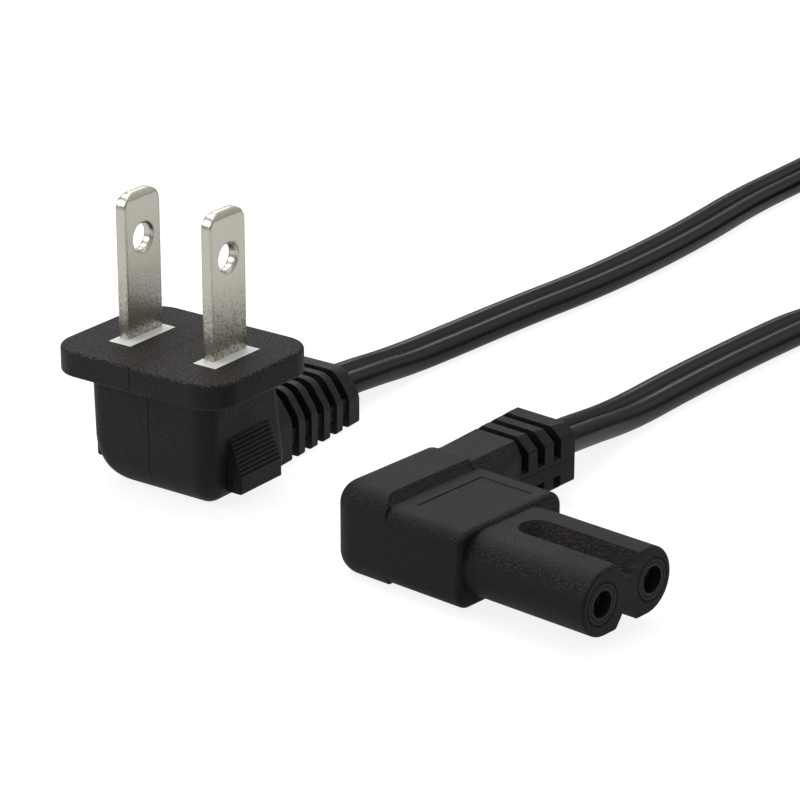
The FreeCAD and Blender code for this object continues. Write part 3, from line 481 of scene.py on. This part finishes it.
def moulded_black(name, settings, marks, grain_size, slope_grain, shine, flat=FLAT_LEAN, lowest=EVERYWHERE):
    """Soft black moulding: fine grain, with paler edges as a painted highlight, and fine marks that carry
    painted shade.

    The grain is coarser on leaning faces, up to the lean named flat, and above the lowest height.
    """
    material, tree, shader = new_material(name)
    links = tree.links
    shader.inputs["Specular IOR Level"].default_value = shine
    grain = place_group(tree, "Mould grain", grain_group, (-900, 0), grain_size=grain_size)
    slope = place_group(tree, "Leaning faces", slope_group, (-1150, -50), flat=flat)
    edge = place_group(tree, "Edge light", edge_group, (-900, -300), radius=0.0001)
    patches = place_group(tree, "Handling patches", patch_group, (-900, 300), size=0.005)
    raised, dark_lines_and_shade = marks(tree)
    point = axes(tree, (-1350, 200), object_point(tree, (-1550, 200)))
    above = math_node(tree, "GREATER_THAN", (-1150, 200), point["Z"], lowest)
    reach = math_node(tree, "MULTIPLY", (-1050, 300), above, slope_grain)
    coarse = math_node(tree, "MULTIPLY", (-950, 150), slope.outputs["Slope"], reach)
    links.new(coarse, grain.inputs["Coarseness"])
    pale = shaded(settings.colour, 6.0)
    base = mottled(tree, (-500, 300), patches.outputs["Patches"], settings.colour, 0.7)
    speck_share = math_node(tree, "MULTIPLY_ADD", (-750, 100), coarse, *SPECK_SHARE)
    bright = math_node(tree, "MULTIPLY", (-600, 100), grain.outputs["Specks"], speck_share)
    specked = mix_colour(tree, (-300, 200), bright, base, pale)
    # Edges are painted paler: a painted highlight where the edges catch the light.
    edge_wear_and_highlight = math_node(tree, "MULTIPLY", (-600, -250), edge.outputs["Edge"], EDGE_HIGHLIGHT)
    edged = mix_colour(tree, (-120, 200), edge_wear_and_highlight, specked, pale)
    pit_share = math_node(tree, "MULTIPLY_ADD", (-750, 480), coarse, *PIT_SHARE)
    pitted = math_node(tree, "MULTIPLY", (-600, 480), grain.outputs["Pits"], pit_share)
    # Pits, the parting line, and painted shade in grooves and gaps all go near-black here.
    dark_marks_and_shade = math_node(tree, "MAXIMUM", (-120, 400), pitted, dark_lines_and_shade)
    links.new(mix_colour(tree, (60, 200), dark_marks_and_shade, edged, PIT_AND_SHADE_COLOUR), shader.inputs["Base Color"])
    links.new(dark_marks_and_shade, shader.inputs["Metallic"])
    set_roughness(tree, shader, patches.outputs["Patches"], *MOULDING_ROUGHNESS)
    height = math_node(tree, "ADD", (-450, -150), grain.outputs["Height"], raised)
    add_bump(tree, shader, height, settings.grain_depth, (-200, -200), edge.outputs["Normal"])
    return material


def parting_line(tree, axis, middle, from_y):
    """A mask of the line where the mould's halves met, at a place along an axis and beyond some y."""
    point = axes(tree, (-1500, -500), object_point(tree, (-1700, -500)))
    line = math_node(tree, "COMPARE", (-1300, -500), point[axis], middle, PARTING_HALF_WIDTH)
    beyond = math_node(tree, "GREATER_THAN", (-1300, -350), point["Y"], from_y)
    return math_node(tree, "MULTIPLY", (-1200, -420), line, beyond)


def grip_valley_shade(tree):
    """A mask of painted shade in the valleys between the ribs of the plug's two finger grips."""
    point = axes(tree, (-1750, -900), object_point(tree, (-1900, -900)))
    count = math_node(tree, "MULTIPLY_ADD", (-1600, -800), point["Z"],
                      -1 / GRIP_RIB_PITCH, GRIP_TOP_Z / GRIP_RIB_PITCH)
    from_middle = math_node(tree, "PINGPONG", (-1450, -800), count, 0.5)
    valley = math_node(tree, "LESS_THAN", (-1300, -800), from_middle, GRIP_VALLEY_REACH)
    surface = add_node(tree, "ShaderNodeNewGeometry", (-1750, -1250))
    normal = axes(tree, (-1600, -1250), surface.outputs["Normal"])
    sideways = math_node(tree, "COMPARE", (-1300, -1250), normal["Y"], 0.0, GRIP_SIDE_LEAN)
    middle = GRIP_TOP_Z - GRIP_RIBBED_HEIGHT / 2
    ribbed = math_node(tree, "COMPARE", (-1450, -950), point["Z"], middle, GRIP_RIBBED_HEIGHT / 2)
    aside = math_node(tree, "ABSOLUTE", (-1450, -1100), point["X"])
    outside = math_node(tree, "GREATER_THAN", (-1300, -1100), aside, GRIP_ROOT_X)
    on_grip = math_node(tree, "MULTIPLY", (-1150, -1000), ribbed, outside)
    on_ribs = math_node(tree, "MULTIPLY", (-1150, -1150), on_grip, sideways)
    return math_node(tree, "MULTIPLY", (-1000, -850), valley, on_ribs)


def plug_marks(tree):
    """The plug's parting line, and painted shade in the valleys of its grips, as (height, darkness)."""
    line = parting_line(tree, "X", PLUG_PARTING_X, EVERYWHERE)
    on_line = math_node(tree, "MULTIPLY", (-1100, -600), line, LINE_DARKNESS)
    # The grips' valleys are painted dark: painted shade in the grooves between the ribs.
    valley_shade = math_node(tree, "MULTIPLY", (-950, -750), grip_valley_shade(tree), VALLEY_SHADE)
    return (math_node(tree, "MULTIPLY", (-1100, -450), line, MARK_HEIGHT),
            math_node(tree, "MAXIMUM", (-950, -600), on_line, valley_shade))


def connector_marks(tree):
    """The connector's parting line and the rings round its contact holes, whose darkness is painted shade,
    as (height, darkness).
    """
    line = parting_line(tree, "Z", CONNECTOR_PLACE[2], CONNECTOR_PARTING_FROM_Y)
    # The rings are sunk and painted dark: painted shade in the gap round the inner moulding and at its step.
    rings = place_group(tree, "Contact rings", contact_ring_group, (-1500, -750)).outputs["Rings"]
    on_line = math_node(tree, "MULTIPLY", (-1100, -600), line, LINE_DARKNESS)
    sunk = math_node(tree, "MAXIMUM", (-1100, -450), line, rings)
    return (math_node(tree, "MULTIPLY", (-950, -450), sunk, MARK_HEIGHT),
            math_node(tree, "MAXIMUM", (-950, -600), on_line, rings))


def jacket_black(name, settings):
    """Extruded jacket of the cord: glossier than the mouldings, with a very shallow grain."""
    material, tree, shader = new_material(name)
    shader.inputs["Specular IOR Level"].default_value = 0.3
    grain = place_group(tree, "Mould grain", grain_group, (-900, 0), grain_size=0.0003)
    patches = place_group(tree, "Handling patches", patch_group, (-900, 300), size=0.006)
    base = mottled(tree, (-500, 300), patches.outputs["Patches"], settings.colour, 0.75)
    tree.links.new(base, shader.inputs["Base Color"])
    set_roughness(tree, shader, patches.outputs["Patches"], *JACKET_ROUGHNESS)
    add_bump(tree, shader, grain.outputs["Height"], JACKET_GRAIN_DEPTH, (-200, -200))
    return material


def plated_blade(name, settings):
    """Plated brass: brushed along the blade, worn at its edges, speckled and darker near the plug's face."""
    material, tree, shader = new_material(name)
    links = tree.links
    shader.inputs["Metallic"].default_value = 1.0
    point = object_point(tree, (-1500, 0))
    stretch = add_node(tree, "ShaderNodeMapping", (-1300, 100))
    stretch.inputs["Scale"].default_value = (5000, 5000, 900)
    links.new(point, stretch.inputs["Vector"])
    brush = add_node(tree, "ShaderNodeTexNoise", (-1100, 100))
    brush.inputs["Scale"].default_value = 1.0
    brush.inputs["Detail"].default_value = 2.0
    links.new(stretch.outputs["Vector"], brush.inputs["Vector"])
    strokes = brush.outputs["Fac"]
    height = axes(tree, (-1300, -300), point)["Z"]
    low = mask_node(tree, (-1100, -300), height, settings.tarnish_height, 0.0)
    speck = add_node(tree, "ShaderNodeTexNoise", (-1100, -600))
    speck.inputs["Scale"].default_value = 3600
    speck.inputs["Detail"].default_value = 4.0
    links.new(point, speck.inputs["Vector"])
    specks = mask_node(tree, (-900, -600), speck.outputs["Fac"], 0.47, 0.6)
    spots = math_node(tree, "MULTIPLY_ADD", (-700, -600), specks, *TARNISH_SPOTS)
    tarnish = math_node(tree, "MULTIPLY", (-700, -400), low, spots)
    edge = place_group(tree, "Edge light", edge_group, (-1100, -900), radius=0.0004)
    edge_wear_and_highlight = math_node(tree, "MULTIPLY_ADD", (-900, -900), specks, *WORN_SPOTS)
    worn = math_node(tree, "MULTIPLY", (-700, -750), edge.outputs["Edge"], edge_wear_and_highlight)
    dulled = math_node(tree, "MAXIMUM", (-600, -550), tarnish, worn)
    tone = mottled(tree, (-700, 200), strokes, settings.plate_colour, 0.92)
    share = math_node(tree, "MULTIPLY", (-600, -200), dulled, TARNISH_SHARE)
    links.new(mix_colour(tree, (-450, 150), share, tone, TARNISH_COLOUR), shader.inputs["Base Color"])
    rough = math_node(tree, "MULTIPLY_ADD", (-450, -50), strokes, *BRUSHED_ROUGHNESS)
    set_roughness(tree, shader, tarnish, TARNISH_ROUGHNESS, rough)
    pits = math_node(tree, "SUBTRACT", (-450, -250), strokes, tarnish)
    add_bump(tree, shader, pits, BRUSH_DEPTH, (-250, -250), edge.outputs["Normal"])
    return material


def plain_metal(name, colour, roughness):
    """Bright drawn or stamped metal."""
    material, tree, shader = new_material(name)
    shader.inputs["Metallic"].default_value = 1.0
    patches = place_group(tree, "Handling patches", patch_group, (-700, 200), size=0.0008)
    base = mottled(tree, (-400, 200), patches.outputs["Patches"], colour, 0.7)
    tree.links.new(base, shader.inputs["Base Color"])
    set_roughness(tree, shader, patches.outputs["Patches"], 0.25, roughness)
    return material


def moulded_plain(name, colour, roughness, grain_size, depth):
    """A harder moulding with a faint grain."""
    material, tree, shader = new_material(name)
    grain = place_group(tree, "Mould grain", grain_group, (-900, 0), grain_size=grain_size)
    patches = place_group(tree, "Handling patches", patch_group, (-900, 300), size=0.002)
    base = mottled(tree, (-400, 200), patches.outputs["Patches"], colour, 0.88)
    tree.links.new(base, shader.inputs["Base Color"])
    set_roughness(tree, shader, patches.outputs["Patches"], 0.2, roughness)
    add_bump(tree, shader, grain.outputs["Height"], depth, (-200, -200))
    return material


def dress(material, *node_names):
    """Gives pieces of the frame their material."""
    for node_name in node_names:
        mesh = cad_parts[node_name].data
        mesh.materials.clear()
        mesh.materials.append(material)


def coil_points(turns):
    """The coil's turns as spline points: in along the lower layer, up, and out along the upper one."""
    half_step = math.pi / COIL_STEPS
    points = []
    for index in range(round(turns * COIL_STEPS)):
        turn = (index + 0.5) / COIL_STEPS
        inward = min(turn, turns - turn)
        radius = (COIL_OUTER_RADIUS - COIL_PITCH * inward) / math.cos(half_step)
        angle = math.pi - 2 * math.pi * turn
        rise = min(max(turn - (turns - 1) / 2, 0), 1)
        rise = rise * rise * (3 - 2 * rise)
        points.append((COIL_CENTRE[0] + radius * math.cos(angle),
                       COIL_CENTRE[1] + radius * math.sin(angle),
                       COIL_LOWER_Z + rise * (COIL_UPPER_Z - COIL_LOWER_Z), 90))
    return points


def flat_section(settings):
    """The cord's section as a closed curve: two lobes, with fine ribs on one."""
    data = bpy.data.curves.new("cord_section", "CURVE")
    data.dimensions = "2D"
    half = settings.lobe_spacing / 2
    reach = settings.lobe_reach
    outline = []
    for side in (1, -1):
        for step in range(LOBE_STEPS + 1):
            angle = -reach + 2 * reach * step / LOBE_STEPS
            radius = settings.lobe_radius
            if side > 0:
                radius -= settings.rib_height * (0.5 - 0.5 * math.cos(angle * RIB_WAVES))
            outline.append((side * (half + radius * math.cos(angle)), side * radius * math.sin(angle)))
    spline = data.splines.new("POLY")
    spline.points.add(len(outline) - 1)
    for point, (x, y) in zip(spline.points, outline):
        point.co = (x, y, 0, 1)
    spline.use_cyclic_u = True
    return bpy.data.objects.new("cord_section", data)


def route_curve(points):
    """The cord's line as one smooth open spline."""
    data = bpy.data.curves.new("cord_line", "CURVE")
    data.dimensions = "3D"
    data.twist_mode = "Z_UP"
    spline = data.splines.new("NURBS")
    spline.points.add(len(points) - 1)
    for point, (x, y, z, twist) in zip(spline.points, points):
        point.co = (x, y, z, 1)
        point.tilt = math.radians(twist)
    spline.order_u = 3
    spline.use_endpoint_u = True
    spline.resolution_u = 8
    return bpy.data.objects.new("cord_line", data)


class CORDSET_OT_stage(bpy.types.Operator):
    """Sets up the camera, the floor and the light"""

    bl_idname = "cordset.stage"
    bl_label = "Stage"

    def execute(self, context):
        settings = context.scene.cord_set.stage
        scene = context.scene
        scene.view_settings.view_transform = "Standard"
        self.camera(scene, settings)
        self.floor(scene, settings)
        self.world(scene)
        for name, place, size, share in SOFTBOXES:
            self.softbox(scene, name, place, size, settings.softbox_power * share)
        return {"FINISHED"}

    def camera(self, scene, settings):
        """The camera, at the photograph's angle."""
        camera = bpy.data.objects.new("camera", bpy.data.cameras.new("camera"))
        scene.collection.objects.link(camera)
        azimuth, elevation = settings.azimuth, settings.elevation
        back = Vector((math.sin(azimuth) * math.cos(elevation), -math.cos(azimuth) * math.cos(elevation),
                       math.sin(elevation)))
        camera.location = CAMERA_PLACE
        camera.rotation_mode = "QUATERNION"
        camera.rotation_quaternion = (-back).to_track_quat("-Z", "Y")
        camera.data.lens = settings.lens
        camera.data.sensor_width = 36
        camera.data.clip_start = 0.01
        camera.data.clip_end = 30
        scene.camera = camera

    def floor(self, scene, settings):
        """A large flat floor under the plug's foot."""
        sheet = bmesh.new()
        bmesh.ops.create_grid(sheet, x_segments=1, y_segments=1, size=FLOOR_HALF_SIZE)
        floor = bpy.data.objects.new("floor", bpy.data.meshes.new("floor"))
        sheet.to_mesh(floor.data)
        sheet.free()
        floor.location.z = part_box("plug_housing")[0].z
        floor.data.materials.append(self.floor_material(settings))
        scene.collection.objects.link(floor)

    def floor_material(self, settings):
        """A pale floor that the camera sees as white, with the shadows left on it."""
        material, tree, shader = new_material("pale_floor")
        shader.inputs["Base Color"].default_value = (*settings.floor_colour, 1)
        shader.inputs["Roughness"].default_value = 0.9
        shader.inputs["Specular IOR Level"].default_value = 0.0
        ray = add_node(tree, "ShaderNodeLightPath", (-600, 0)).outputs
        glow = add_node(tree, "ShaderNodeEmission", (-200, -500))
        mirrored = math_node(tree, "MULTIPLY", (-400, -200), ray["Is Glossy Ray"], FLOOR_REFLECTED)
        strength = math_node(tree, "MULTIPLY_ADD", (-200, -300), ray["Is Camera Ray"], FLOOR_SEEN, mirrored)
        tree.links.new(strength, glow.inputs["Strength"])
        both = add_node(tree, "ShaderNodeAddShader", (200, 0))
        tree.links.new(shader.outputs[0], both.inputs[0])
        tree.links.new(glow.outputs[0], both.inputs[1])
        tree.links.new(both.outputs[0], tree.nodes["Material Output"].inputs["Surface"])
        return material

    def world(self, scene):
        """Even light from all round, brighter overhead, that the camera sees as white."""
        world = bpy.data.worlds.new("studio")
        scene.world = world
        world.use_nodes = True
        tree = world.node_tree
        coords = add_node(tree, "ShaderNodeTexCoord", (-900, 0))
        direction = axes(tree, (-700, 0), coords.outputs["Generated"])
        lift = add_node(tree, "ShaderNodeMapRange", (-500, 0))
        lift.inputs["To Min"].default_value = WORLD_LOW
        lift.inputs["To Max"].default_value = WORLD_HIGH
        tree.links.new(direction["Z"], lift.inputs["Value"])
        ray = add_node(tree, "ShaderNodeLightPath", (-500, 300)).outputs
        strength = math_node(tree, "MAXIMUM", (-250, 100), lift.outputs["Result"], ray["Is Camera Ray"])
        tree.links.new(strength, tree.nodes["Background"].inputs["Strength"])
        tree.nodes["Background"].inputs["Color"].default_value = (1, 1, 1, 1)

    def softbox(self, scene, name, place, size, power):
        """A soft square lamp that faces the cord set."""
        lamp = bpy.data.lights.new(name, "AREA")
        lamp.size = size
        lamp.energy = power
        made = bpy.data.objects.new(name, lamp)
        scene.collection.objects.link(made)
        made.location = place
        made.rotation_mode = "QUATERNION"
        made.rotation_quaternion = (Vector(LAMP_TARGET) - Vector(place)).to_track_quat("-Z", "Y")


class CORDSET_OT_flat_cord(bpy.types.Operator):
    """Lays the flat cord from the plug through the coil to the connector"""

    bl_idname = "cordset.flat_cord"
    bl_label = "Flat cord"

    def execute(self, context):
        settings = context.scene.cord_set.cord
        line = route_curve(PLUG_ROUTE + coil_points(settings.coil_turns) + CONNECTOR_ROUTE)
        context.scene.collection.objects.link(line)
        path_mesh = bpy.data.meshes.new_from_object(line)
        path = [tuple(vertex.co) for vertex in path_mesh.vertices]
        section = flat_section(settings)
        context.scene.collection.objects.link(section)
        line.data.bevel_mode = "OBJECT"
        line.data.bevel_object = section
        line.data.use_fill_caps = True
        context.view_layer.update()
        mesh = bpy.data.meshes.new_from_object(line.evaluated_get(context.evaluated_depsgraph_get()))
        mesh.shade_smooth()
        mesh.set_sharp_from_angle(angle=SHARP_ANGLE)
        cord = bpy.data.objects.new("flat_cord", mesh)
        context.scene.collection.objects.link(cord)
        mesh.materials.clear()
        mesh.materials.append(jacket_black("cord_jacket", settings))
        bpy.data.objects.remove(line)
        bpy.data.objects.remove(section)
        length = sum((Vector(a) - Vector(b)).length for a, b in zip(path, path[1:]))
        print("cord length", round(length, 4), "faces", len(mesh.polygons))
        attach(cord, "root")
        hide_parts("cord_plug_run", "cord_coil", "cord_connector_run")
        return {"FINISHED"}


class CORDSET_OT_mouldings(bpy.types.Operator):
    """Finishes the plug's and the connector's mouldings and the pieces inside them"""

    bl_idname = "cordset.mouldings"
    bl_label = "Mouldings"

    def execute(self, context):
        settings = context.scene.cord_set
        moulding = settings.moulding
        plug = moulded_black("plug_moulding", moulding, plug_marks, moulding.plug_grain_size,
                             slope_grain=0.9, shine=0.31, flat=PLUG_FLAT_LEAN, lowest=GRIP_TOP_Z)
        dress(plug, "plug_housing")
        connector = moulded_black("connector_moulding", moulding, connector_marks,
                                  moulding.connector_grain_size, slope_grain=0.6, shine=0.19)
        dress(connector, "connector_housing")
        holder = moulded_plain("white_moulding", HOLDER_COLOUR, roughness=0.35, grain_size=0.0002,
                               depth=0.000004)
        dress(holder, "blade_holder")
        carrier = moulded_black("carrier_moulding", moulding, connector_marks,
                                moulding.connector_grain_size, slope_grain=0.3, shine=0.3)
        dress(carrier, "contact_carrier", "carrier_cap")
        dress(jacket_black("inner_jacket", settings.cord), "plug_cord_end", "connector_cord_end")
        band = moulded_plain("tie_band", TIE_COLOUR, roughness=0.4, grain_size=0.0004, depth=0.00001)
        dress(band, "coil_tie")
        return {"FINISHED"}


class CORDSET_OT_metal(bpy.types.Operator):
    """Finishes the blades, the contacts and the conductors"""

    bl_idname = "cordset.metal"
    bl_label = "Metal"

    def execute(self, context):
        settings = context.scene.cord_set.metal
        dress(plated_blade("blade_plate", settings), "line_blade", "neutral_blade")
        # Darkened brass: painted shade inside the connector's holes.
        brass = plain_metal("contact_brass", settings.shaded_brass_colour, roughness=0.4)
        dress(brass, "line_contact", "neutral_contact")
        copper = plain_metal("bare_copper", COPPER_COLOUR, roughness=0.25)
        dress(copper, "plug_line_strands", "plug_neutral_strands",
              "connector_line_strands", "connector_neutral_strands")
        return {"FINISHED"}


class CORDSET_PT_panel(bpy.types.Panel):
    """Lists the cord set's pieces"""

    bl_idname = "CORDSET_PT_panel"
    bl_label = "Cord Set"
    bl_space_type = "VIEW_3D"
    bl_region_type = "UI"
    bl_category = "Cord Set"

    def draw(self, context):
        settings = context.scene.cord_set
        for title, group, operator in (("Stage", settings.stage, "cordset.stage"),
                                       ("Cord", settings.cord, "cordset.flat_cord"),
                                       ("Mouldings", settings.moulding, "cordset.mouldings"),
                                       ("Metal", settings.metal, "cordset.metal")):
            box = self.layout.box()
            box.label(text=title)
            for name in group.bl_rna.properties.keys():
                if name not in {"rna_type", "name"}:
                    box.prop(group, name)
            box.operator(operator)


CLASSES = (
    CordSettings, MouldingSettings, MetalSettings, StageSettings, CordSetSettings,
    CORDSET_OT_stage, CORDSET_OT_flat_cord, CORDSET_OT_mouldings, CORDSET_OT_metal,
    CORDSET_PT_panel,
)


def register():
    for cls in CLASSES:
        bpy.utils.register_class(cls)
    bpy.types.Scene.cord_set = PointerProperty(type=CordSetSettings)


def unregister():
    del bpy.types.Scene.cord_set
    for cls in reversed(CLASSES):
        bpy.utils.unregister_class(cls)


def main():
    """Builds the scene."""
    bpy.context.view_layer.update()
    register()
    bpy.ops.cordset.stage()
    bpy.ops.cordset.flat_cord()
    bpy.ops.cordset.mouldings()
    bpy.ops.cordset.metal()


if __name__ == "__main__":
    main()
